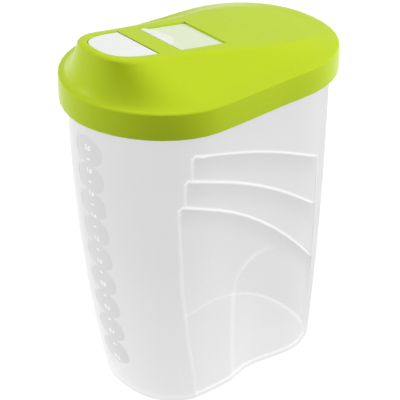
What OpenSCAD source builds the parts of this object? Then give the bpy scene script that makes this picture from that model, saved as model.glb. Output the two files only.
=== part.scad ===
// Tall cereal container with a snap-on lid and a see-saw pouring flap.
// The container tapers down to a small foot with a finger waist on each flank; the lid is a
// skirted cap whose flat top slopes up to a pouring nose; the flap rocks under a cross bar.
// Millimetres, Z up. X runs along the container with the pouring nose at -X, origin under the middle.

/* [Container] */
// Height of the container up to its rim
body_height = 202.6; // [180:1:230]
// Length of the container at the rim, wall to wall
rim_length = 164; // [156:1:172]
// Width of the broad front part at the rim
rim_width = 107; // [100:1:112]
// Height of the foot's rounded bottom edge
foot_radius = 2.6; // [2:0.2:5]
// Wall thickness
wall = 1.8; // [1.4:0.1:2.4]
// Floor thickness
floor_thickness = 2.2; // [1.6:0.1:4]
// Depth of the finger waist on each flank, at the foot
waist_depth = 4.6; // [0:0.2:6]
// How far up the flank the finger waist reaches
waist_height = 104; // [70:1:130]
// Outward reach of the rim bead that the lid grips
bead_reach = 2.4; // [1.5:0.1:2.7]

/* [Side panels] */
// Depth of each stepped panel on the flanks
panel_step = 1; // [0.3:0.1:1.2]

/* [Scale] */
// Number of scallops in the scale strip on the front wall
scale_count = 9; // [5:1:10]
// Radius of one scallop
scale_radius = 12; // [9:0.5:13]
// Spacing of the scallops
scale_pitch = 17.6; // [14:0.2:18]
// Height of the topmost scallop's middle
scale_top = 170.6; // [160:0.2:174]
// Depth of the scallops
scale_depth = 0.5; // [0.2:0.1:0.8]

/* [Lid] */
// Height of the lid's straight skirt
skirt_height = 15.8; // [12:0.2:18]
// Lid wall thickness
lid_wall = 2; // [1.6:0.1:2.4]
// Height of the pouring nose above the skirt, at its front tip
nose_rise = 24.8; // [20:0.2:28]
// Width of the flat top beside the windows
ridge_width = 50.4; // [48:0.2:54]
// Radius of the skirt's upper edge
skirt_round = 1.6; // [0.8:0.2:3]
// How hollow the lid's sides are
side_hollow = 1.8; // [1.4:0.1:2.4]
// Width of the two windows
window_width = 38; // [30:0.2:39]
// Width of the cross bar between the windows
bar_width = 14; // [10:0.5:16]

/* [Flap] */
// Gap all round between the flap and its windows
flap_gap = 0.5; // [0.3:0.1:1]
// Radius of the flap's pivot pins
pin_radius = 2; // [1.6:0.1:2.4]
// Radial clearance of the pins in the lid's lugs
pin_clearance = 0.06; // [0.02:0.01:0.1]

/* [Hidden] */
// Height at which the lid's lower edge sits
lid_base = body_height - 12.6;
skirt_top = lid_base + skirt_height;
// Lid outline beyond the container wall, all round
overhang = 5;

// Outlines as [front x, front length, front half width, front power,
//              rear x, rear length, rear half width, rear power]
foot_plan = [-61, 36, 39.9, 2.25, 73.8, 36, 38.7, 2.4];
// Height of the bead's lower end below the rim
bead_drop = 6.2;
rim_plan = [-rim_length / 2, 47, rim_width / 2 - 0.2, 1.87,
    rim_length / 2, 54, rim_width / 2 - 2.7, 2.17];
lid_plan = [for (i = [0:7]) rim_plan[i] + overhang * [-1, 1, 1, 0, 1, 1, 1, 0][i]];
ridge_plan = [-77.6, 26, ridge_width / 2, 2.5, 74, 34, ridge_width / 2 + 8, 2.4];

// Drop of the flat top's rounded edge: crisp beside the windows, fading out towards the rear
function ridge_drop(x) = mix(1.5, 0.3, smooth((x + 10) / 50));

// Front wall and rear wall swell a little between foot and rim
front_swell = 0.85;
rear_swell = 0.22;

// Points along a front end, a flank and a rear end of the lid
end_steps = 10;
flank_steps = 8;

// Rise of the flat top above the skirt at its rear end, its slope, and where that is measured
rear_rise = 3.2;
nose_x = -76;
top_slope = (nose_rise - rear_rise) / 142;
pivot_x = -37;
function top_z(x) = skirt_top + nose_rise - top_slope * (x - nose_x);
tilt = atan(top_slope);

// Pivot axis below the flat top, and the flap's heights above the axis
pivot_drop = 9.5;
pivot_z = top_z(pivot_x) - pivot_drop / cos(tilt);
flap_wall = 1.8;
flap_top = pivot_drop - 0.3;
finger_floor = flap_top - 0.8;
front_window = [-73.2, pivot_x - bar_width / 2];
rear_window = [pivot_x + bar_width / 2, 3.6];
window_power = 2.8;

function mix(a, b, k) = a + (b - a) * k;
function smooth(k) = let (c = min(1, max(0, k))) c * c * (3 - 2 * c);

// One quarter of a superellipse: s runs from the long-axis tip (0) to the flank (1)
function quarter(a, b, n, s) = [a * (1 - pow(cos(90 * s), 2 / n)), b * pow(sin(90 * s), 2 / n)];

// Half an outline from the front tip to the rear tip, drawn in by e
function half_plan(p, e) = concat(
    [for (i = [0:end_steps - 1]) let (q = quarter(p[1] - e, p[2] - e, p[3], i / end_steps))
        [p[0] + e + q[0], q[1]]],
    [for (i = [0:flank_steps]) let (u = i / flank_steps)
        [mix(p[0] + p[1], p[4] - p[5], u), mix(p[2], p[6], smooth(u)) - e]],
    [for (i = [1:end_steps]) let (q = quarter(p[5] - e, p[6] - e, p[7], 1 - i / end_steps))
        [p[4] - e - q[0], q[1]]]);

// The whole outline, mirrored across X, anticlockwise seen from above
function full_plan(h) = let (n = len(h)) concat(
    [for (i = [n - 1:-1:0]) h[i]],
    [for (i = [1:n - 2]) [h[i][0], -h[i][1]]]);

// Container outline at height z
function swell(k, q) = k + q * k * (1 - k);
function body_plan(z) = let (k = min(z, lid_base) / lid_base)
    [for (i = [0:7]) mix(foot_plan[i], rim_plan[i],
        i == 3 || i == 7 ? k : swell(k, i > 3 && i != 6 ? rear_swell : front_swell))];

// Half width of an outline at x, drawn in by e
function half_width(p, x, e) = let (
        front = min(1, max(0, (p[0] + p[1] - x) / (p[1] - e))),
        rear = min(1, max(0, (x - p[4] + p[5]) / (p[5] - e))),
        u = (x - p[0] - p[1]) / (p[4] - p[5] - p[0] - p[1]))
    front > 0 ? (p[2] - e) * pow(max(0, 1 - pow(front, p[3])), 1 / p[3])
    : rear > 0 ? (p[6] - e) * pow(max(0, 1 - pow(rear, p[7])), 1 / p[7])
    : mix(p[2], p[6], smooth(u)) - e;

// Long falling curves at the top of the three panels, seen from the side: rounded front corner,
// then peak, middle and rear end. Each is a height for a given x.
panel_curves = [
    [[-47.2, 166], [-34, 173.6], [6.6, 161.1], [50, 141.8]],
    [[-50.8, 152], [-38, 157.8], [6, 138.4], [50, 109.5]],
    [[-53.4, 136], [-42, 141.6], [6, 114.6], [52.7, 70.2]]];
function through(a, b, c, x) = a[1] * (x - b[0]) * (x - c[0]) / ((a[0] - b[0]) * (a[0] - c[0]))
    + b[1] * (x - a[0]) * (x - c[0]) / ((b[0] - a[0]) * (b[0] - c[0]))
    + c[1] * (x - a[0]) * (x - b[0]) / ((c[0] - a[0]) * (c[0] - b[0]));
function panel_height(q, x) = let (c = min(x, q[3][0]))
    c < q[0][0] ? q[0][1]
    : c < q[1][0] ? mix(q[0][1], through(q[1], q[2], q[3], c),
        sqrt(max(0, 1 - pow((q[1][0] - c) / (q[1][0] - q[0][0]), 2))))
    : through(q[1], q[2], q[3], c);
// Upper edge of the finger waist, a rounded corner that runs out towards the rear
function waist_top(x) = min(70 + 22 * sqrt(max(0, 1 - pow(min(0, x - 6) / 19.5, 2))),
    panel_height(panel_curves[2], x) - 12);

// Front edge of the lowest panel, rear edge of the panels, and front edge of the waist, by height
function panel_front(z) = lookup(z, [[0, -34.6], [9.7, -36.6], [51.2, -44.7], [88.9, -50.1],
    [116.9, -52.4], [136, -53.4]]);
function panel_rear(z) = lookup(z, [[76.3, 53.3], [112.7, 51.9], [142.6, 50]]);
function waist_front(z) = lookup(z, [[5.7, -6.2], [31.6, -9.9], [72.6, -13], [85, -13]]);

// Stations along a flank at height z, from the front tip to the rear tip. Stations stand close
// together on either side of an edge, with one more where the lip in front of the edge begins.
edge_width = 0.6;
lip_width = 1.5;
lip_rise = 0.4;
tip_steps = 7;
function stations(p, z, e) = let (
        f = panel_front(z), w = waist_front(z), r = panel_rear(z), tip = p[0] + e, tail = p[4] - e,
        pair = [-edge_width / 2, edge_width / 2])
    concat(
        [for (i = [0:tip_steps - 1]) mix(tip, f - 0.5, pow(i / tip_steps, 2))],
        [for (d = [0, 2.8, 6.3]) each [f + d - lip_width, f + d + pair[0], f + d + pair[1]]],
        [for (d = [8.5, 11.5, 15, 19]) f + d],
        [mix(f + 19, w, 0.5)],
        [for (q = pair) w + q],
        [w + 2, w + 5],
        [for (k = [1:5]) mix(w + 5, r, k / 6)],
        [for (q = pair) r + q],
        [for (i = [1:tip_steps]) mix(tail, r + 0.5, pow(1 - i / tip_steps, 2))]);
// Station numbers just inside each panel's front edge, the waist's edge and the panels' rear edge
panel_start = [tip_steps + 8, tip_steps + 5, tip_steps + 2];
waist_start = tip_steps + 15;
panel_end = tip_steps + 23;

// Levels up the wall, each [lower bound, upper bound, share, panels begun, waist begun, lip]; bounds
// number the foot, waist top, three panel curves and the bead
function level_height(b, x) = b == 0 ? foot_radius : b == 1 ? waist_top(x)
    : b < 5 ? panel_height(panel_curves[4 - b], x) : body_height - bead_drop;
function levels(fine) = concat(
    [for (k = [0:fine ? 4 : 2]) [0, 1, k / (fine ? 4.6 : 2.999), 3, true, 0]],
    fine ? [[1, 1, 0, 3, true, 0], [1, 1, 1, 3, false, 0]] : [[1, 1, 0, 3, false, 0]],
    [[1, 2, 0.5, 3, false, 0]],
    [for (b = [2, 3, 4]) each concat(
        [[b, b, 0, 5 - b, false, 0], [b, b, 1, 4 - b, false, fine ? 1 : 0]],
        fine ? [[b, b, 1 + (lip_width - edge_width / 2) / edge_width, 4 - b, false, 0],
            [b, b + 1, 0.5, 4 - b, false, 0]] : [[b, b + 1, 0.5, 4 - b, false, 0]])]);
function level_z(v, x) = v[0] == v[1]
    ? level_height(v[0], x) + (v[2] - 0.5) * edge_width
    : mix(level_height(v[0], x), level_height(v[1], x), v[2]);

// How far a station is set in by the panel it lies on: most at the panel's upper edge. The lowest
// panel fades into the rear corner.
function panel_inset(m, x, z) = let (
        top = panel_height(panel_curves[m - 1], x),
        low = m < 3 ? panel_height(panel_curves[m], x) : top - 60)
    panel_step * mix(1, 0.6, smooth((top - z) / (top - low)));
function panel_depth(i, v, x, z) = let (m = v[3])
    m == 0 ? 0
    : i > panel_end ? (m < 3 ? 0 : panel_step * smooth((66 - z) / 30) * (1 - smooth((x - 52) / 16)))
    : i >= panel_start[m - 1] ? panel_inset(m, x, z) : 0;
// Raised lip along the upper and front edges of the panels
function lip_at(i, v) = let (
        m = v[3],
        upper = v[5] == 1 && i >= panel_start[m] - 1 && i <= panel_end + 1,
        front = v[5] >= 0 && m > 0 && i == panel_start[m - 1] - 1)
    upper || front ? lip_rise : 0;

// Finger waist: a soft hollow, deepest at the foot, behind a small front edge
waist_deepest = 12;
waist_rear = 46;
waist_edge = 0.7;
function waist_inset(i, v, x, z) = let (
        front = waist_front(z) - 3,
        along = x < waist_deepest ? smooth((x - front) / (waist_deepest - front))
            : smooth((waist_rear - x) / (waist_rear - waist_deepest)))
    (waist_depth - waist_edge) * along * (1 - smooth(z / waist_height))
        + (v[4] && i >= waist_start ? waist_edge * (1 - smooth((x - 4) / 24)) : 0);
function inset(i, v, x, z, e) = panel_depth(i, v, x, z) + waist_inset(i, v, x, z)
    - (e < 1 ? lip_at(i, v) : 0);

// Ring of the wall at one level, drawn in by e
function wall_point(i, v, z, e) = let (p = body_plan(z), x = stations(p, z, e)[i])
    [x, max(0, half_width(p, x, e) - inset(i, v, x, z, e)), z];
function wall_ring(v, e) = let (
        h = level_z(v, 0),
        guide = stations(body_plan(h), h, e))
    mirrored([for (i = [0:len(guide) - 1]) wall_point(i, v, level_z(v, guide[i]), e)]);

// Flat ring at height z, set in by a further e, with the detail of the foot or of the rim
function plain_ring(v, z, e) = let (
        p = body_plan(z),
        xs = stations(p, z, e),
        half = [for (i = [0:len(xs) - 1]) let (y = half_width(p, xs[i], e))
            [xs[i], v == undef ? y : max(0, y - inset(i, v, xs[i], z, 1)), z]])
    mirrored(half);
function mirrored(h) = let (n = len(h)) concat(
    [for (i = [n - 1:-1:0]) h[i]],
    [for (i = [1:n - 2]) [h[i][0], -h[i][1], h[i][2]]]);

// A closed skin through rings of equal length, with flat ends
module skin(rings) {
    n = len(rings[0]);
    m = len(rings);
    points = [for (r = rings) each r];
    sides = [for (j = [0:m - 2], i = [0:n - 1]) let (a = j * n + i, b = j * n + (i + 1) % n)
        each [[a, a + n, b], [b, a + n, b + n]]];
    bottom = [[for (i = [0:n - 1]) i]];
    top = [[for (i = [n - 1:-1:0]) (m - 1) * n + i]];
    polyhedron(points = points, faces = concat(sides, bottom, top), convexity = 8);
}

// Scalloped strip sunk into the front wall: overlapping discs, cut a little below the surface
module scale_cut() {
    difference() {
        for (i = [0:scale_count - 1])
            translate([-rim_length / 2 - 5, 0, scale_top - scale_pitch * i])
                rotate([0, 90, 0])
                    rotate(3)
                        cylinder(h = 40, r = scale_radius, $fn = 32);
        skin(concat([for (v = levels(true)) wall_ring(v, scale_depth)],
            [plain_ring(undef, body_height - bead_drop - 1, scale_depth)]));
    }
}

// Container: one continuous skin, up the outside, over the bead and down the inside
module container() {
    floor_level = [0, 0, 0, 3, true, -1];
    outside = concat(
        [for (a = [0:22.5:67.5])
            plain_ring(floor_level, foot_radius * (1 - cos(a)), foot_radius * (1 - sin(a)))],
        [for (v = levels(true)) wall_ring(v, 0)]);
    bead = [for (q = [[0, bead_drop], [bead_reach - 0.6, 3.4], [bead_reach, 2.8], [bead_reach, 0.6],
            [bead_reach - 0.6, 0], [-wall, 0]])
        plain_ring(undef, body_height - q[1], -q[0])];
    coarse = levels(false);
    count = len(coarse);
    inside = concat(
        [for (i = [count - 1:-1:0])
            if (level_z(coarse[i], 0) > foot_radius + floor_thickness) wall_ring(coarse[i], wall)],
        [for (a = [90:-30:0]) plain_ring(floor_level, floor_thickness + foot_radius * (1 - cos(a)),
            wall + foot_radius * (1 - sin(a)))]);
    color([0.86, 0.88, 0.89, 0.6])
        resize([0, 0, 0])
            difference() {
                skin(concat(outside, bead, inside));
                scale_cut();
            }
}

// Ring of the lid's side between the skirt (v = 0) and the flat top's edge (v = 1), hollow at the nose
// and the flanks and fuller towards the rear
function lid_side(v, e) = let (
        outer = full_plan(half_plan(lid_plan, e + skirt_round)),
        inner = full_plan(half_plan(ridge_plan, e)))
    [for (i = [0:len(outer) - 1]) let (
            q = mix(outer[i], inner[i], v),
            lift = pow(v, mix(side_hollow, 0.75, smooth((inner[i][0] - 10) / 60))))
        [q[0], q[1], mix(skirt_top, top_z(inner[i][0]) - ridge_drop(inner[i][0]), lift) - e]];
function flat_ring(plan, e, z) = [for (q = full_plan(half_plan(plan, e))) [q[0], q[1], z]];
function ridge_ring(e, reach, share) = let (p = ridge_plan - 2 * reach * [0, 0, 0, 0, 1, 0, 1, 0])
    [for (q = full_plan(half_plan(p, e + reach))) [q[0], q[1], top_z(q[0]) - e - ridge_drop(q[0]) * share]];

// Solid form of the lid, drawn in by e all over, with an open bottom at z0
module lid_form(e, z0) {
    skin(concat(
        [flat_ring(lid_plan, e, z0)],
        [flat_ring(lid_plan, e, skirt_top - skirt_round - e)],
        [for (a = [30:30:90])
            flat_ring(lid_plan, e + skirt_round * (1 - cos(a)),
                skirt_top - e - skirt_round * (1 - sin(a)))],
        [for (v = [0.14:0.14:1]) lid_side(v, e)],
        [for (q = [[0, 1], [0.9, 0.4], [2.2, 0.1], [4, 0]])
            ridge_ring(e, q[0], q[1])]));
}

// Outline of the front window, a blunt half oval closed by the bar, drawn in by e
module front_window_shape(e) {
    a = front_window[1] - front_window[0] - 2 * e;
    b = window_width / 2 - e;
    half = [for (i = [0:12]) quarter(a, b, window_power, i / 12)];
    polygon(concat(
        [for (q = half) [front_window[0] + e + q[0], q[1]]],
        [for (i = [12:-1:1]) [front_window[0] + e + half[i][0], -half[i][1]]]));
}

// Outline of the rear window, drawn in by e
module rear_window_shape(e) {
    translate([rear_window[0] + e, -window_width / 2 + e])
        square([rear_window[1] - rear_window[0] - 2 * e, window_width - 2 * e]);
}

// Pivot frame: X along the lid's flat top, Z square to it, origin on the pivot axis
module on_pivot() {
    translate([pivot_x, 0, pivot_z])
        rotate([0, tilt, 0])
            children();
}

// Slab parallel to the flat top between two heights above the pivot axis
module slab(low, high) {
    on_pivot()
        translate([-60, -40, low])
            cube([120, 80, high - low]);
}

// Upright prism of an outline, kept between two heights above the pivot axis
module tile(low, high) {
    intersection() {
        slab(low, high);
        translate([0, 0, skirt_top - 20])
            linear_extrude(60)
                children();
    }
}

lug_inner = window_width / 2;
lug_thickness = 2.6;
lug_radius = 4.4;
lip_depth = 1.4;

// Lug that hangs beside the windows and carries one pivot pin
module lug(side) {
    on_pivot()
        translate([0, side * (lug_inner + lug_thickness / 2), 0])
            rotate([90, 0, 0])
                linear_extrude(lug_thickness, center = true)
                    union() {
                        circle(r = lug_radius, $fn = 48);
                        translate([-lug_radius, 0])
                            square([2 * lug_radius, pivot_drop - lid_wall + 0.6]);
                    }
}

// Lip under the front window on which the closed flap rests
module seat_lip() {
    high = flap_top - flap_wall - 0.1;
    difference() {
        tile(high - 1.4, pivot_drop - lid_wall + 0.5)
            front_window_shape(-1.6);
        tile(high - 5, high + 0.01)
            front_window_shape(lip_depth);
        tile(high, pivot_drop + 5)
            front_window_shape(-0.1);
        on_pivot()
            translate([-front_clear, -40, -20])
                cube([60, 80, 40]);
    }
}

// Ring that hangs from the lid's underside and locates inside the container's rim
module locating_ring() {
    outer = overhang + wall + 0.4;
    intersection() {
        difference() {
            skin([for (h = [-10, 25]) flat_ring(lid_plan, outer, skirt_top + h)]);
            skin([for (h = [-11, 26]) flat_ring(lid_plan, outer + 1.4, skirt_top + h)]);
        }
        lid_form(lid_wall / 2, lid_base);
    }
}

// Lid: thin cap with skirt, sloping flat top, two windows, locating ring and pivot lugs
module lid() {
    color([0.72, 0.84, 0.16])
        difference() {
            union() {
                resize([0, 0, 0])
                    union() {
                        difference() {
                            lid_form(0, lid_base);
                            lid_form(lid_wall, lid_base - 1);
                            linear_extrude(400)
                                front_window_shape(0);
                            linear_extrude(400)
                                rear_window_shape(0);
                        }
                        locating_ring();
                        seat_lip();
                    }
                lug(-1);
                lug(1);
            }
            on_pivot()
                rotate([90, 0, 0])
                    cylinder(h = 2 * (lug_inner + lug_thickness) + 0.2, r = pin_radius + pin_clearance,
                        center = true, $fn = 48);
        }
}

// Reach of the flap's front apron from the axis, just past the bar's front corner as it swings
apron_radius = norm([bar_width / 2 + pivot_drop * sin(tilt) + 0.1, pivot_drop]) + 0.3;
front_clear = apron_radius + flap_wall + 0.6;
hub_radius = 3.2;
flap_width = window_width - 2 * flap_gap;
crescent_reach = 10;

// Flap: front lobe, curved apron under the bar, hub with two pins, and the sunken finger lobe
module flap() {
    rear_face = bar_width / 2 + 0.9;
    color([0.93, 0.94, 0.93])
        union() {
            // Front lobe, trimmed to an arc about the axis so it swings clear of the bar
            difference() {
                tile(flap_top - flap_wall, flap_top)
                    front_window_shape(flap_gap);
                on_pivot()
                    rotate([90, 0, 0])
                        cylinder(h = 80, r = apron_radius, center = true, $fn = 96);
            }
            on_pivot() {
                // Curved apron from the lobe down to the axis
                rotate([90, 0, 0])
                    linear_extrude(flap_width, center = true)
                        intersection() {
                            difference() {
                                circle(r = apron_radius + flap_wall, $fn = 96);
                                circle(r = apron_radius, $fn = 96);
                            }
                            translate([-40, -0.9])
                                square([40, flap_top + 0.9 - 0.2]);
                        }
                // Web through the axis
                translate([-apron_radius - 0.9, -flap_width / 2, -0.9])
                    cube([apron_radius + 0.9 + rear_face + flap_wall, flap_width, 1.8]);
                // Hub and pins
                rotate([90, 0, 0])
                    cylinder(h = flap_width, r = hub_radius, center = true, $fn = 48);
                rotate([90, 0, 0])
                    cylinder(h = 2 * (lug_inner + lug_thickness - 0.3), r = pin_radius,
                        center = true, $fn = 48);
                // Riser behind the bar
                translate([rear_face, -flap_width / 2, -0.9])
                    cube([flap_wall, flap_width, flap_top - 0.5]);
            }
            // Sunken finger floor and the crescent land in front of it
            tile(finger_floor - flap_wall, finger_floor)
                rear_lobe_shape();
            tile(finger_floor - flap_wall, flap_top)
                intersection() {
                    rear_lobe_shape();
                    translate([rear_window[0], 0])
                        scale([crescent_reach / 20, 1])
                            circle(r = 20, $fn = 96);
                }
        }
}

// Outline of the flap's finger lobe
module rear_lobe_shape() {
    intersection() {
        rear_window_shape(flap_gap);
        translate([rear_window[0] + 1, -40])
            square([60, 80]);
    }
}

// Piece to draw

container();
lid();
flap();
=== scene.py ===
import math

import bmesh
import bpy
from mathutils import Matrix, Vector
from mathutils.bvhtree import BVHTree


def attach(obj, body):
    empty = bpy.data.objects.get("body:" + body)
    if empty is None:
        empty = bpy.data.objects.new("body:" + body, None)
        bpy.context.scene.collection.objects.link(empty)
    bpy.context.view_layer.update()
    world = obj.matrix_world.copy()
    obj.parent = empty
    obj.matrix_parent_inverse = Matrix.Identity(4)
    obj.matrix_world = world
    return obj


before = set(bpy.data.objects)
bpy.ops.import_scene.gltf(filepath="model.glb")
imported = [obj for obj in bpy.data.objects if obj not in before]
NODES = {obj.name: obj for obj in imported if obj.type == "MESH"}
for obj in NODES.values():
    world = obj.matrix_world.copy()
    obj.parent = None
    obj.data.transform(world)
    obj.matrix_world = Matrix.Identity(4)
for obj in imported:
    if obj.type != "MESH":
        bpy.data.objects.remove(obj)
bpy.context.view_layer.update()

bl_info = {
    "name": "Cereal container with pouring flap",
    "version": (1, 0, 0),
    "blender": (4, 5, 0),
    "location": "View3D > Sidebar > Container",
    "description": "Finishes a frosted cereal container, its lid and its flap, and builds a studio round it",
    "category": "Object",
}


# ---------------------------------------------------------------- properties

class ContainerFinish(bpy.types.PropertyGroup):
    tint: bpy.props.FloatVectorProperty(
        name="Tint", description="Colour of the frosted plastic", subtype="COLOR",
        size=3, min=0, max=1, default=(0.45, 0.45, 0.452))
    clearness: bpy.props.FloatProperty(
        name="Clearness", description="Share of light that passes through the thin panels",
        subtype="FACTOR", min=0, max=1, default=0.5)
    # Painted glow: the frosted plastic gives off light of its own colour, standing in for light scattered
    # inside the milky wall
    glow: bpy.props.FloatProperty(
        name="Inner light", description="Light scattered inside the milky wall, as a share of its colour",
        min=0, default=1.33)
    frosting: bpy.props.FloatProperty(
        name="Frosting", description="Roughness of the frosted surface",
        subtype="FACTOR", min=0, max=1, default=0.42)


class InnerFoot(bpy.types.PropertyGroup):
    radius: bpy.props.FloatProperty(
        name="Radius", description="Radius of the rounded bead where the floor meets the wall",
        unit="LENGTH", default=0.00095)
    steps: bpy.props.IntProperty(
        name="Steps", description="Steps of the bead round the floor", min=24, default=144)


class ScaleMarks(bpy.types.PropertyGroup):
    digit_size: bpy.props.FloatProperty(
        name="Digit size", description="Body size of the numbers", unit="LENGTH", default=0.0042)
    relief: bpy.props.FloatProperty(
        name="Relief", description="How far the marks stand off the wall", unit="LENGTH", default=0.0003)
    tick: bpy.props.FloatProperty(
        name="Tick", description="Length of the short marks between the numbers",
        unit="LENGTH", default=0.0024)


class LidFinish(bpy.types.PropertyGroup):
    colour: bpy.props.FloatVectorProperty(
        name="Colour", description="Colour of the lid", subtype="COLOR",
        size=3, min=0, max=1, default=(0.555, 0.715, 0.02))
    polish: bpy.props.FloatProperty(
        name="Polish", description="Roughness of the moulded gloss",
        subtype="FACTOR", min=0, max=1, default=0.27)


class FlapFinish(bpy.types.PropertyGroup):
    colour: bpy.props.FloatVectorProperty(
        name="Colour", description="Colour of the flap", subtype="COLOR",
        size=3, min=0, max=1, default=(0.93, 0.95, 0.92))
    # Painted tinge: the green of the lid beneath, seen through the thin finger lobe, painted into the flap's
    # colour
    painted_tinge: bpy.props.FloatVectorProperty(
        name="Tinge", description="Colour of the finger lobe, which the lid shows through", subtype="COLOR",
        size=3, min=0, max=1, default=(0.80, 0.87, 0.64))
    polish: bpy.props.FloatProperty(
        name="Polish", description="Roughness of the moulded gloss",
        subtype="FACTOR", min=0, max=1, default=0.3)


class StudioSetting(bpy.types.PropertyGroup):
    floor_colour: bpy.props.FloatVectorProperty(
        name="Floor colour", description="Colour of the floor", subtype="COLOR",
        size=3, min=0, max=1, default=(0.35, 0.35, 0.35))
    azimuth: bpy.props.FloatProperty(
        name="Azimuth", description="Camera's direction round the container",
        subtype="ANGLE", default=math.radians(-39.36))
    elevation: bpy.props.FloatProperty(
        name="Elevation", description="Camera's height above the horizon",
        subtype="ANGLE", default=math.radians(30.14))
    distance: bpy.props.FloatProperty(
        name="Distance", description="From the camera to the middle of the container",
        unit="LENGTH", default=0.9762)
    lens: bpy.props.FloatProperty(
        name="Lens", description="Focal length of the camera in millimetres", default=145.77)
    ambient: bpy.props.FloatProperty(
        name="Ambient light", description="Strength of the light from above, behind and the sides",
        min=0, default=1.0)
    front_light: bpy.props.FloatProperty(
        name="Front light", description="Strength of the light from the camera's side", min=0, default=0.06)
    back_light: bpy.props.FloatProperty(
        name="Back light", description="Strength of the light from behind the container", min=0, default=0.5)
    floor_glow: bpy.props.FloatProperty(
        name="Floor glow", description="Light given off by the floor", min=0, default=0.74)


# ------------------------------------------------------------------ materials

class Nodes:
    """Short ways to lay out one node tree."""

    def __init__(self, tree, shader, place):
        self.tree = tree
        self.shader = next(node for node in tree.nodes if node.type == shader)
        self.place = self.add("ShaderNodeTexCoord").outputs[place]

    def add(self, kind, **settings):
        node = self.tree.nodes.new(kind)
        for name, value in settings.items():
            setattr(node, name, value)
        return node

    def feed(self, socket, value):
        """Links another node's result to a socket, or sets the socket's own value."""
        if isinstance(value, bpy.types.NodeSocket):
            self.tree.links.new(value, socket)
        else:
            socket.default_value = value

    def set(self, **values):
        """Feeds the shader's sockets, which are named with _ for a space."""
        for name, value in values.items():
            self.feed(self.shader.inputs[name.replace("_", " ")], value)

    def math(self, operation, *values):
        node = self.add("ShaderNodeMath", operation=operation)
        for socket, value in zip(node.inputs, values):
            self.feed(socket, value)
        return node.outputs["Value"]

    def minus(self, value, taken):
        return self.math("SUBTRACT", value, taken)

    def times(self, value, factor):
        return self.math("MULTIPLY", value, factor)

    def least(self, *values):
        return self.extreme("MINIMUM", values)

    def largest(self, *values):
        return self.extreme("MAXIMUM", values)

    def extreme(self, operation, values):
        found = values[0]
        for value in values[1:]:
            found = self.math(operation, found, value)
        return found

    def distance(self, along, up):
        """Straight distance to what is this far along and this far up."""
        return self.math("SQRT", self.math("ADD", self.times(along, along), self.times(up, up)))

    def spread(self, value, low, high, start=0.3, end=0.7, interpolation="LINEAR"):
        """Low up to the start, high from the end on, and an even change between them."""
        node = self.add("ShaderNodeMapRange", interpolation_type=interpolation)
        for name, number in (("From Min", start), ("From Max", end), ("To Min", low), ("To Max", high)):
            node.inputs[name].default_value = number
        self.feed(node.inputs["Value"], value)
        return node.outputs["Result"]

    def step(self, value):
        """A soft edge: 0 well below zero, 1 well above it."""
        return self.spread(value, 0, 1, -SOFT_EDGE, SOFT_EDGE)


class Look(Nodes):
    """The nodes of one material, laid out by the place on the object."""

    def __init__(self, name):
        self.material = bpy.data.materials.new(name)
        self.material.use_nodes = True
        super().__init__(self.material.node_tree, "BSDF_PRINCIPLED", "Object")

    def axes(self):
        """The place's x, y and z."""
        node = self.add("ShaderNodeSeparateXYZ")
        self.feed(node.inputs["Vector"], self.place)
        return node.outputs["X"], node.outputs["Y"], node.outputs["Z"]

    def noise(self, scale, detail=3.0, stretch=(1, 1, 1)):
        stretched = self.add("ShaderNodeMapping")
        stretched.inputs["Scale"].default_value = stretch
        self.feed(stretched.inputs["Vector"], self.place)
        node = self.add("ShaderNodeTexNoise")
        node.inputs["Scale"].default_value = scale
        node.inputs["Detail"].default_value = detail
        self.feed(node.inputs["Vector"], stretched.outputs["Vector"])
        return node.outputs["Fac"]

    def two_tone(self, value, dark, light, start=0.35, end=0.65):
        """Dark up to the start, light from the end on, and a blend between them."""
        node = self.add("ShaderNodeValToRGB")
        for stop, at, colour in zip(node.color_ramp.elements, (start, end), (dark, light)):
            stop.position = at
            stop.color = (*colour, 1)
        self.feed(node.inputs["Fac"], value)
        return node.outputs["Color"]

    def curve(self, value, points):
        """A height for each value, along straight pieces between points."""
        xs, ys = zip(*points)
        left, right, low, high = xs[0], xs[-1], min(ys), max(ys)
        spots = [((x - left) / (right - left), (y - low) / (high - low)) for x, y in points]
        node = self.add("ShaderNodeFloatCurve")
        line = node.mapping.curves[0]
        line.points[0].location = spots[0]
        line.points[1].location = spots[-1]
        for spot in spots[1:-1]:
            line.points.new(*spot)
        for point in line.points:
            point.handle_type = "VECTOR"
        node.mapping.update()
        self.feed(node.inputs["Value"], self.spread(value, 0, 1, left, right))
        return self.spread(node.outputs["Value"], low, high, 0, 1)

    def mix(self, share, under, over):
        node = self.add("ShaderNodeMix", data_type="RGBA")
        for socket, value in zip((node.inputs[0], node.inputs[6], node.inputs[7]), (share, under, over)):
            self.feed(socket, value)
        return node.outputs[2]

    def bump(self, height, strength, distance, normal=None):
        node = self.add("ShaderNodeBump")
        node.inputs["Strength"].default_value = strength
        node.inputs["Distance"].default_value = distance
        self.feed(node.inputs["Height"], height)
        if normal is not None:
            self.feed(node.inputs["Normal"], normal)
        return node.outputs["Normal"]


def shaded(colour, share):
    return tuple(part * share for part in colour)


# Lengths below are in metres along the container (x) and up it (z), seen from the side.

# Half the width over which a mask goes from 0 to 1
SOFT_EDGE = 0.0003

# Upper edges of the three panels on each flank, the lowest first: front corner, peak, middle, rear end
PANEL_TOPS = (
    ((-0.0534, 0.1360), (-0.0420, 0.1416), (0.0060, 0.1146), (0.0527, 0.0702)),
    ((-0.0508, 0.1520), (-0.0380, 0.1578), (0.0060, 0.1384), (0.0500, 0.1095)),
    ((-0.0472, 0.1660), (-0.0340, 0.1736), (0.0066, 0.1611), (0.0500, 0.1418)))
# How far each panel's front edge stands behind that of the lowest
PANEL_SETBACKS = (0, 0.0028, 0.0063)
# Front edge of the lowest panel, and rear edge of all three, by height
PANEL_FRONT = ((0, -0.0346), (0.0097, -0.0366), (0.0512, -0.0447), (0.0889, -0.0501), (0.136, -0.0534))
PANEL_REAR = ((0.0763, 0.0533), (0.1127, 0.0519), (0.1426, 0.0500))
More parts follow.
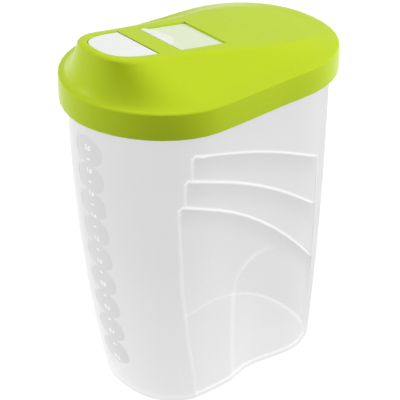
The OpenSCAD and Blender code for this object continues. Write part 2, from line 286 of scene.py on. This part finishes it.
# Heights between which the lowest panel's rear edge begins, and how far off it is kept below them
REAR_EDGE_UP = (0.066, 0.072)
REAR_EDGE_OFF = 0.02
# Radius of the panels' front corners, and the steps round a corner and along the edge behind it
CORNER = 0.0025
CORNER_STEPS = 4
TOP_STEPS = 9

# From the middle of a lip: where its painted highlight line begins to fade, and where it is gone
LIP_LINE = (0.0005, 0.0015)
# Brightness of the painted highlight on a panel's front and rear edges, as a share of a lip's
SIDE_LINE = 0.45
# Distance behind the lip over which its painted highlight line turns into a side edge's
SIDE_TURN = 0.001
# Below a lip: where its painted shadow begins to fade, and where it is gone
LIP_SHADE = (0.0008, 0.016)
# How deep inside a panel the painted shadow is full
SHADE_START = 0.0005
# Depths inside the panel below, between which a panel's painted highlight lines and painted shadow end
OVERLAP = (-0.0006, 0.0002)
# Lengths along between which the painted highlight lines and painted shadows stop, at the end of the flank
FLANK_END = (0.0545, 0.0552)
# Round the rear end: lengths along and heights between which the thin wall ends
THIN_ALONG = (0.053, 0.066)
THIN_UP = (0.045, 0.069)

# Finger waist: front edge by height, middle of the rounded upper edge, and its reach forward and up
WAIST_FRONT = ((0.0057, -0.0062), (0.0316, -0.0099), (0.0726, -0.0130))
WAIST_MIDDLE = (0.006, 0.070)
WAIST_REACH = (0.0195, 0.022)
WAIST_STEPS = 8
# From the waist's edge: where its painted highlight band begins to fade, and where it is gone
WAIST_BAND = (0.0003, 0.0032)
# Lengths along between which the painted highlight band fades out towards the rear
WAIST_FADE = (-0.002, 0.022)

# Lobes down the nose: height of the topmost, spacing, count and radius
LOBE_TOP = 0.1706
LOBE_PITCH = 0.0176
LOBE_COUNT = 9
LOBE_RADIUS = 0.012
# Deepens the notches between the lobes: less than 1 lets two neighbours overlap a little
LOBE_OVERLAP = 0.97
# The lobes are in front of this
LOBE_REAR = -0.04

# Painted light and shade on places of the container, as shares of its tint: lighter low down for the floor's
# light through the wall, painted shade on the sunk lobes, under the lips and on the rear end, and painted
# highlights on the lips, the foot's edge, the inner bead and the scale marks
PAINTED_LIGHT = {"low": 1.1, "lobe": 0.9, "under lip": 0.88, "lip": 1.28, "rear end": 0.85, "foot": 1.08,
          "bead": 1.5, "scale": 1.28}
# How much the wall's faint clouding darkens it, how much of its painted shadow the place under a lip takes,
# and the brightness of the waist's painted highlight band as a share of a lip's
CLOUDING = 0.985
UNDER_LIP_SHARE = 0.9
WAIST_SHARE = 0.5
# Heights at which the painted light low down and the foot's painted highlight end, and lengths along over
# which the rear end's painted shade begins
LOW_END = 0.11
FOOT_END = (0.0015, 0.004)
REAR_END_START = (0.048, 0.062)
# Clearness of the plain wall as a share of a thin panel's, and of either higher up as a share of low down
WALL_CLEAR = 0.45
HIGH_CLEAR = 0.5
# Heights between which the clearness falls
CLEAR_UP = (0.05, 0.13)
# How solid the lips and the foot are at least
LIP_SOLID = 0.85
FOOT_SOLID = 0.8
# The plastic's own colour is mixed with this much black, as its painted glow gives the rest of its brightness
DIMMING = 0.6
BLACK = (0, 0, 0, 1)
WHITE = (1, 1, 1, 1)

# Lengths along between which the finger lobe's painted green tinge begins, under the lid's bar
BAR = (-0.036, -0.034)
# Round patch on the finger lobe with less of the painted tinge, so it stays whiter: its middle along and
# across, the distances between which it ends, and how much of the tinge it takes
PATCH_MIDDLE = (-0.037, 0.006)
PATCH_EDGE = (0.0165, 0.0185)
PATCH_TINGE = 0.2


def through(points, x):
    """Height at x of the parabola through three points."""
    height = 0
    for at, up in points:
        for other, _ in points:
            if other != at:
                up *= (x - other) / (at - other)
        height += up
    return height


def panel_top(corner, *curve):
    """Points along a panel's upper edge: a small rounded corner, then a long falling curve."""
    points = []
    for i in range(CORNER_STEPS + 1):
        done = i / CORNER_STEPS
        x = corner[0] + CORNER * done
        drop = CORNER * (1 - math.sqrt(1 - (1 - done) ** 2))
        points.append((x, through(curve, x) - drop))
    start, end = points[-1][0], curve[-1][0]
    for i in range(1, TOP_STEPS + 1):
        x = start + (end - start) * i / TOP_STEPS
        points.append((x, through(curve, x)))
    return points


def panel_masks(look):
    """Painted highlight lines along the panels' edges, the painted shadow just below their upper edges, and
    their insides.
    """
    x, _, z = look.axes()
    to_rear = look.minus(look.curve(z, PANEL_REAR), x)
    past_front = look.minus(x, look.curve(z, PANEL_FRONT))
    # The thin walls end at the panels' rear edge, and fade round the rear end below it
    round_end = look.least(look.spread(x, 1, 0, *THIN_ALONG), look.spread(z, 1, 0, *THIN_UP))
    thin_end = look.largest(look.step(to_rear), round_end)
    lines, shades, insides = [], [], []
    # The lowest panel has no rear edge low down, where it runs on round the rear end
    ahead = look.largest(to_rear, look.spread(z, REAR_EDGE_OFF, -REAR_EDGE_OFF, *REAR_EDGE_UP))
    uncovered = 1
    for top, setback in zip(PANEL_TOPS, PANEL_SETBACKS):
        below = look.minus(look.curve(x, panel_top(*top)), z)
        behind = look.minus(past_front, setback)
        depth = look.least(below, behind, ahead)
        # Each panel's painted highlight along its edges, and its painted shadow below its upper edge
        line = look.spread(look.math("ABSOLUTE", depth), 1, 0, *LIP_LINE)
        line = look.times(line, look.spread(look.minus(below, depth), 1, SIDE_LINE, 0, SIDE_TURN))
        shade = look.times(look.spread(below, 1, 0, *LIP_SHADE), look.spread(depth, 0, 1, 0, SHADE_START))
        lines.append(look.times(line, uncovered))
        shades.append(look.times(shade, uncovered))
        insides.append(look.times(look.step(look.least(below, behind)), thin_end))
        uncovered = look.spread(depth, 1, 0, *OVERLAP)
        ahead = to_rear
    flank = look.spread(x, 1, 0, *FLANK_END)
    line = look.times(look.largest(*lines), flank)
    shade = look.times(look.largest(*shades), flank)
    return line, shade, look.largest(*insides)


def waist_highlight(look):
    """Soft painted highlight band along the front and upper edge of the finger waist."""
    x, _, z = look.axes()
    (along, up), (forward, upward) = WAIST_MIDDLE, WAIST_REACH
    turns = [math.pi / 2 * i / WAIST_STEPS for i in range(WAIST_STEPS + 1)]
    top = [(along - forward * math.cos(turn), up + upward * math.sin(turn)) for turn in turns]
    below = look.minus(look.curve(x, top), z)
    behind = look.minus(x, look.curve(z, WAIST_FRONT))
    band = look.spread(look.math("ABSOLUTE", look.least(below, behind)), 1, 0, *WAIST_BAND)
    return look.times(band, look.spread(x, 1, 0, *WAIST_FADE))


def lobe_shade_mask(look):
    """Mask of the painted shade on the sunk lobes: 1 on the row of lobes down the nose, 0 in the notches
    between them and elsewhere.
    """
    x, y, z = look.axes()
    bottom = LOBE_TOP - LOBE_PITCH * (LOBE_COUNT - 1)
    from_nearest = look.math("PINGPONG", look.minus(z, bottom), LOBE_PITCH / 2)
    from_row = look.largest(look.minus(z, LOBE_TOP), look.minus(bottom, z))
    flattening = 2 * LOBE_RADIUS / LOBE_PITCH * LOBE_OVERLAP
    from_middle = look.distance(y, look.times(look.largest(from_nearest, from_row), flattening))
    lobe = look.step(look.minus(LOBE_RADIUS, from_middle))
    return look.times(lobe, look.math("LESS_THAN", x, LOBE_REAR))


def milky(look, body, finish):
    """Sets what the container's plastics share: a dimmed colour, the same colour given off as a painted glow,
    and frosting.
    """
    look.set(Base_Color=look.mix(DIMMING, body, BLACK), Emission_Color=body, Emission_Strength=finish.glow,
             Roughness=look.spread(look.noise(60), finish.frosting - 0.05, finish.frosting + 0.05),
             IOR=1.45, Specular_IOR_Level=0.15)


def frosted_plastic(finish):
    """Milky plastic with painted light and shade: highlights on its lips, waist and foot, shade under its
    lips, on its lobes and at its rear end, and more light low down; the thin panels let more light through.
    """
    look = Look("frosted plastic")
    x, _, height = look.axes()
    cloud = look.noise(14, detail=2)
    lines, shades, panels = panel_masks(look)
    # Painted highlights on the lips and, at half strength, along the waist
    bright = look.largest(lines, look.times(waist_highlight(look), WAIST_SHARE))
    foot = look.spread(height, 1, 0, *FOOT_END)
    body = look.two_tone(cloud, shaded(finish.tint, CLOUDING), finish.tint)
    # Painted light and shade by place, mixed over the plastic's colour: light low down, shade on the lobes,
    # under the lips and on the rear end, highlights on the lips and the foot's edge
    for place, share in (("low", look.spread(height, 1, 0, 0, LOW_END)),
                         ("lobe", lobe_shade_mask(look)),
                         ("under lip", look.times(shades, UNDER_LIP_SHARE)),
                         ("lip", bright),
                         ("rear end", look.spread(x, 0, 1, *REAR_END_START)),
                         ("foot", foot)):
        body = look.mix(share, body, (*shaded(finish.tint, PAINTED_LIGHT[place]), 1))
    milky(look, body, finish)
    clear = look.times(look.spread(panels, WALL_CLEAR, 1, 0, 1), look.spread(height, 1, HIGH_CLEAR, *CLEAR_UP))
    solid = look.minus(1, look.times(clear, finish.clearness))
    solid = look.largest(solid, look.times(bright, LIP_SOLID), look.times(foot, FOOT_SOLID))
    clouds = look.bump(cloud, strength=0.02, distance=0.002)
    grain = look.bump(look.noise(1600, detail=2), strength=0.05, distance=0.0003, normal=clouds)
    look.set(Alpha=solid, Normal=grain)
    return look.material


def highlighted_plastic(name, finish, highlight):
    """The container's plastic where it is thick and raised, in a brighter copy that is a painted highlight."""
    look = Look(name)
    body = look.two_tone(look.noise(300), shaded(finish.tint, highlight * 0.95), shaded(finish.tint, highlight))
    milky(look, body, finish)
    return look.material


def green_plastic(finish):
    """The lid's moulded gloss plastic, with slight waves and flow marks and a yellow-green shine."""
    look = Look("green gloss plastic")
    look.set(Base_Color=look.two_tone(look.noise(9, detail=2), shaded(finish.colour, 0.97), finish.colour),
             Roughness=look.spread(look.noise(40, detail=2), finish.polish - 0.03, finish.polish + 0.04),
             Normal=look.bump(look.noise(22, detail=1), strength=0.02, distance=0.002),
             IOR=1.46, Specular_IOR_Level=0.14, Specular_Tint=(0.8, 1, 0.3, 1),
             Coat_Weight=0.12, Coat_Roughness=0.12, Coat_IOR=1.4, Coat_Tint=(0.9, 1, 0.5, 1))
    return look.material


def white_plastic(finish):
    """The flap's thin plastic: streaked at the spout, and with a painted green tinge behind the bar for the
    lid seen through it.
    """
    look = Look("white gloss plastic")
    x, y, _ = look.axes()
    streaks = look.noise(38, detail=2, stretch=(0.35, 1, 1))
    white = look.two_tone(streaks, shaded(finish.colour, 0.965), finish.colour, start=0.4, end=0.6)
    # Painted green tinge behind the bar, weaker on a round patch
    from_patch = look.distance(look.minus(x, PATCH_MIDDLE[0]), look.minus(y, PATCH_MIDDLE[1]))
    tinged = look.times(look.spread(x, 0, 1, *BAR), look.spread(from_patch, PATCH_TINGE, 1, *PATCH_EDGE))
    look.set(Base_Color=look.mix(tinged, white, (*finish.painted_tinge, 1)),
             Roughness=look.spread(look.noise(40, detail=2), finish.polish - 0.03, finish.polish + 0.04),
             Normal=look.bump(look.noise(30, detail=1), strength=0.02, distance=0.002),
             IOR=1.46, Specular_IOR_Level=0.3)
    return look.material


# --------------------------------------------------------------------- pieces

# Points nearer than this are one point
WELD = 1e-6
# Edges between faces that turn more than this stay crisp
CREASE = math.radians(28)
# Top of the container's floor, and its inside area at height h: AREA[0] + AREA[1] h + AREA[2] h^2
FLOOR_TOP = 0.0022
AREA = (0.008453, 0.05111, -0.116)
# Height above the floor at which the wall's inside is found, for the bead
PROBE = 0.0012
# Middle of the bead above the floor and inside the wall, as a share of its radius
BEAD_REST = 0.6
BEAD_SIDES = 8
# A place well in front of the nose
NOSE_FRONT = -0.3


def dress(node, material):
    """Gives a CAD node its finish and smooth shading between its softer edges."""
    solid = NODES[node]
    solid.data.materials.clear()
    solid.data.materials.append(material)
    for face in solid.data.polygons:
        face.use_smooth = True
        face.material_index = 0
    weld = solid.modifiers.new("weld", "WELD")
    weld.merge_threshold = WELD
    crisp = solid.modifiers.new("crisp edges", "EDGE_SPLIT")
    crisp.split_angle = CREASE
    crisp.use_edge_sharp = False


def level(litres):
    """Height at which the container holds this much."""
    height, held, step = FLOOR_TOP, 0, 0.0001
    while held < litres / 1000:
        height += step
        held += step * (AREA[0] + AREA[1] * height + AREA[2] * height ** 2)
    return height


def wall_finder():
    """A function that gives the first point of the container's wall, from a place in a direction."""
    mesh = NODES["container"].data
    tree = BVHTree.FromPolygons([v.co for v in mesh.vertices], [tuple(f.vertices) for f in mesh.polygons])

    def find(place, way):
        hit = tree.ray_cast(Vector(place), Vector(way))[0]
        if hit is None:
            raise RuntimeError("the container's wall wasn't found")
        return hit

    return find


def new_piece(name, points, faces, material, smooth):
    """A closed mesh that moves with the container, its matching points joined and its faces outward."""
    mesh = bpy.data.meshes.new(name)
    mesh.from_pydata(points, [], faces)
    form = bmesh.new()
    form.from_mesh(mesh)
    bmesh.ops.remove_doubles(form, verts=form.verts, dist=WELD)
    bmesh.ops.recalc_face_normals(form, faces=form.faces)
    form.to_mesh(mesh)
    form.free()
    mesh.materials.append(material)
    for face in mesh.polygons:
        face.use_smooth = smooth
    piece = bpy.data.objects.new(name, mesh)
    bpy.context.scene.collection.objects.link(piece)
    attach(piece, "container")


def foot_bead(radius, steps, material):
    """Rounded bead along the corner between the floor and the wall, inside."""
    find = wall_finder()
    points = []
    for i in range(steps):
        turn = 2 * math.pi * i / steps
        out = Vector((math.cos(turn), math.sin(turn), 0))
        wall = find((0, 0, FLOOR_TOP + PROBE), out)
        middle = Vector((wall.x, wall.y, FLOOR_TOP + BEAD_REST * radius)) - out * (BEAD_REST * radius)
        for j in range(BEAD_SIDES):
            tilt = 2 * math.pi * j / BEAD_SIDES
            points.append(middle + out * (radius * math.cos(tilt)) + Vector((0, 0, radius * math.sin(tilt))))
    faces = []
    for i in range(steps):
        here, there = i * BEAD_SIDES, (i + 1) % steps * BEAD_SIDES
        for j in range(BEAD_SIDES):
            up = (j + 1) % BEAD_SIDES
            faces.append((here + j, there + j, there + up, here + up))
    new_piece("foot_bead", points, faces, material, smooth=True)


def digits(text, size, relief):
    """Points and faces of a raised number: across, up, and out of the wall."""
    curve = bpy.data.curves.new("number", "FONT")
    curve.body = text
    curve.size = size
    curve.align_x = "CENTER"
    curve.align_y = "CENTER"
    curve.extrude = relief
    curve.resolution_u = 3
    holder = bpy.data.objects.new("number", curve)
    mesh = holder.to_mesh()
    points = [v.co.copy() for v in mesh.vertices]
    faces = [tuple(f.vertices) for f in mesh.polygons]
    holder.to_mesh_clear()
    bpy.data.objects.remove(holder)
    bpy.data.curves.remove(curve)
    return points, faces


def short_mark(length, relief):
    """Points and faces of a raised bar, a quarter as high as it is long."""
    half, high = length / 2, length / 8
    corners = ((-half, -high), (half, -high), (half, high), (-half, high))
    points = [(across, up, out) for out in (-relief, relief) for across, up in corners]
    faces = [(3, 2, 1, 0), (4, 5, 6, 7), (0, 1, 5, 4), (1, 2, 6, 5), (2, 3, 7, 6), (3, 0, 4, 7)]
    return points, faces


def scale_marks(digit_size, relief, tick, material):
    """A raised scale down the nose: a number each fifth of a litre and a short mark between."""
    find = wall_finder()
    points, faces = [], []
    for tenth in range(1, 21):
        litres = tenth / 10
        if tenth % 2 == 0:
            mark_points, mark_faces = digits(f"{litres:.1f}", digit_size, relief)
        else:
            mark_points, mark_faces = short_mark(tick, relief)
        first, height = len(points), level(litres)
        for across, up, out in mark_points:
            wall = find((NOSE_FRONT, -across, height + up), (1, 0, 0))
            points.append((wall.x - out, -across, height + up))
        faces += [tuple(first + k for k in face) for face in mark_faces]
    new_piece("scale_marks", points, faces, material, smooth=False)


# --------------------------------------------------------------------- studio

# Half the floor's side, which reaches beyond every view, and the gap under the container
FLOOR_HALF = 20.0
FLOOR_GAP = 0.0002
# Directions in which the light from all round falls off, and the cosines where that starts and ends
FRONT_FALL = (-0.5, -0.86, -0.3), 0.25, 0.9
BACK_FALL = (0.6, 0.78, 0.25), 0.2, 0.95
# Lamps: name, distance to the camera's right, height, diameter and power in watts
LAMPS = (("right", 1.3, 0.7, 0.7, 9), ("left", -1.3, 0.6, 0.6, 2.5))
LAMP_AIM = Vector((0, 0, 0.15))
# Camera: what it aims at, its shift, its sensor in millimetres, and how near and far it sees
CAMERA_AIM = Vector((0.0005, 0, 0.1045))
CAMERA_SHIFT = (-0.0031, 0.01755)
SENSOR = 36
CLIP = (0.01, 100)


def lay_floor(scene, studio):
    """A wide pale floor, which throws no light of its own on the container."""
    corners = [(x * FLOOR_HALF, y * FLOOR_HALF, 0) for x, y in ((-1, -1), (1, -1), (1, 1), (-1, 1))]
    mesh = bpy.data.meshes.new("floor")
    mesh.from_pydata(corners, [], [(0, 1, 2, 3)])
    look = Look("studio floor")
    colour = look.two_tone(look.noise(2), shaded(studio.floor_colour, 0.99), studio.floor_colour, 0.3, 0.7)
    look.set(Base_Color=colour, Roughness=0.8, Specular_IOR_Level=0.2,
             Emission_Color=WHITE, Emission_Strength=studio.floor_glow)
    mesh.materials.append(look.material)
    floor = bpy.data.objects.new("floor", mesh)
    floor.location = (0, 0, -FLOOR_GAP)
    floor.visible_diffuse = False
    scene.collection.objects.link(floor)


def light_all_round(scene, studio):
    """Even light from above and the sides, darker low down in front and somewhat darker behind."""
    world = bpy.data.worlds.new("studio")
    world.use_nodes = True
    scene.world = world
    nodes = Nodes(world.node_tree, "BACKGROUND", "Generated")
    strength = studio.ambient
    for (way, start, end), light in ((FRONT_FALL, studio.front_light), (BACK_FALL, studio.back_light)):
        toward = nodes.add("ShaderNodeVectorMath", operation="DOT_PRODUCT")
        nodes.feed(toward.inputs[0], nodes.place)
        nodes.feed(toward.inputs[1], Vector(way).normalized())
        rest = light / studio.ambient
        share = nodes.spread(toward.outputs["Value"], 1, rest, start, end, "SMOOTHSTEP")
        strength = nodes.times(share, strength)
    nodes.set(Color=WHITE, Strength=strength)


def hang_lamps(scene, studio):
    """A soft lamp on either side of the camera's view."""
    right = Vector((math.cos(studio.azimuth), math.sin(studio.azimuth), 0))
    for name, aside, height, size, power in LAMPS:
        data = bpy.data.lights.new(name, "AREA")
        data.shape = "DISK"
        data.size = size
        data.energy = power
        lamp = bpy.data.objects.new(name, data)
        lamp.location = right * aside + Vector((0, 0, height))
        lamp.rotation_euler = (LAMP_AIM - lamp.location).to_track_quat("-Z", "Y").to_euler()
        scene.collection.objects.link(lamp)


def set_camera(scene, studio):
    """The camera at the photograph's angle."""
    flat = math.cos(studio.elevation)
    back_way = Vector((math.sin(studio.azimuth) * flat, -math.cos(studio.azimuth) * flat,
                       math.sin(studio.elevation)))
    data = bpy.data.cameras.new("camera")
    data.sensor_width = SENSOR
    data.lens = studio.lens
    data.shift_x, data.shift_y = CAMERA_SHIFT
    data.clip_start, data.clip_end = CLIP
    camera = bpy.data.objects.new("camera", data)
    camera.rotation_mode = "QUATERNION"
    camera.location = CAMERA_AIM + back_way * studio.distance
    camera.rotation_quaternion = (-back_way).to_track_quat("-Z", "Y")
    scene.collection.objects.link(camera)
    scene.camera = camera


# ------------------------------------------------------------------ operators

class OBJECT_OT_finish_container(bpy.types.Operator):
    """Gives the container its frosted plastic"""
    bl_idname = "object.finish_container"
    bl_label = "Finish container"

    def execute(self, context):
        dress("container", frosted_plastic(context.scene.container_finish))
        return {"FINISHED"}


class OBJECT_OT_add_foot_bead(bpy.types.Operator):
    """Rounds the corner between the container's floor and wall with a bead, brightened as a painted highlight
    """
    bl_idname = "object.add_foot_bead"
    bl_label = "Add foot bead"

    def execute(self, context):
        bead = context.scene.inner_foot
        # The bead's brighter plastic is a painted highlight
        plastic = highlighted_plastic("foot plastic", context.scene.container_finish, PAINTED_LIGHT["bead"])
        foot_bead(bead.radius, bead.steps, plastic)
        return {"FINISHED"}


class OBJECT_OT_add_scale(bpy.types.Operator):
    """Adds the raised scale of litres down the container's nose"""
    bl_idname = "object.add_scale"
    bl_label = "Add scale"

    def execute(self, context):
        marks = context.scene.scale_marks
        # The scale's brighter plastic is a painted highlight
        plastic = highlighted_plastic("scale plastic", context.scene.container_finish, PAINTED_LIGHT["scale"])
        scale_marks(marks.digit_size, marks.relief, marks.tick, plastic)
        return {"FINISHED"}


class OBJECT_OT_finish_lid(bpy.types.Operator):
    """Gives the lid its green gloss plastic"""
    bl_idname = "object.finish_lid"
    bl_label = "Finish lid"

    def execute(self, context):
        dress("lid", green_plastic(context.scene.lid_finish))
        return {"FINISHED"}


class OBJECT_OT_finish_flap(bpy.types.Operator):
    """Gives the flap its white plastic"""
    bl_idname = "object.finish_flap"
    bl_label = "Finish flap"

    def execute(self, context):
        dress("flap", white_plastic(context.scene.flap_finish))
        return {"FINISHED"}


class OBJECT_OT_build_studio(bpy.types.Operator):
    """Sets the floor, the lights and the camera"""
    bl_idname = "object.build_studio"
    bl_label = "Build studio"

    def execute(self, context):
        scene = context.scene
        studio = scene.studio_setting
        lay_floor(scene, studio)
        light_all_round(scene, studio)
        hang_lamps(scene, studio)
        set_camera(scene, studio)
        scene.view_settings.view_transform = "Standard"
        return {"FINISHED"}


# Each group of properties: its name in the scene, its class, and the operator that uses it
GROUPS = (
    ("container_finish", ContainerFinish, OBJECT_OT_finish_container),
    ("inner_foot", InnerFoot, OBJECT_OT_add_foot_bead),
    ("scale_marks", ScaleMarks, OBJECT_OT_add_scale),
    ("lid_finish", LidFinish, OBJECT_OT_finish_lid),
    ("flap_finish", FlapFinish, OBJECT_OT_finish_flap),
    ("studio_setting", StudioSetting, OBJECT_OT_build_studio))


class VIEW3D_PT_container(bpy.types.Panel):
    bl_label = "Cereal container"
    bl_idname = "VIEW3D_PT_container"
    bl_space_type = "VIEW_3D"
    bl_region_type = "UI"
    bl_category = "Container"

    def draw(self, context):
        for name, group, operator in GROUPS:
            box = self.layout.box()
            for value in group.__annotations__:
                box.prop(getattr(context.scene, name), value)
            box.operator(operator.bl_idname)


def register():
    for name, group, operator in GROUPS:
        bpy.utils.register_class(group)
        bpy.utils.register_class(operator)
        setattr(bpy.types.Scene, name, bpy.props.PointerProperty(type=group))
    bpy.utils.register_class(VIEW3D_PT_container)


def unregister():
    bpy.utils.unregister_class(VIEW3D_PT_container)
    for name, group, operator in reversed(GROUPS):
        delattr(bpy.types.Scene, name)
        bpy.utils.unregister_class(operator)
        bpy.utils.unregister_class(group)


def main():
    register()
    bpy.ops.object.finish_container()
    bpy.ops.object.add_foot_bead()
    bpy.ops.object.add_scale()
    bpy.ops.object.finish_lid()
    bpy.ops.object.finish_flap()
    bpy.ops.object.build_studio()


if __name__ == "__main__":
    main()
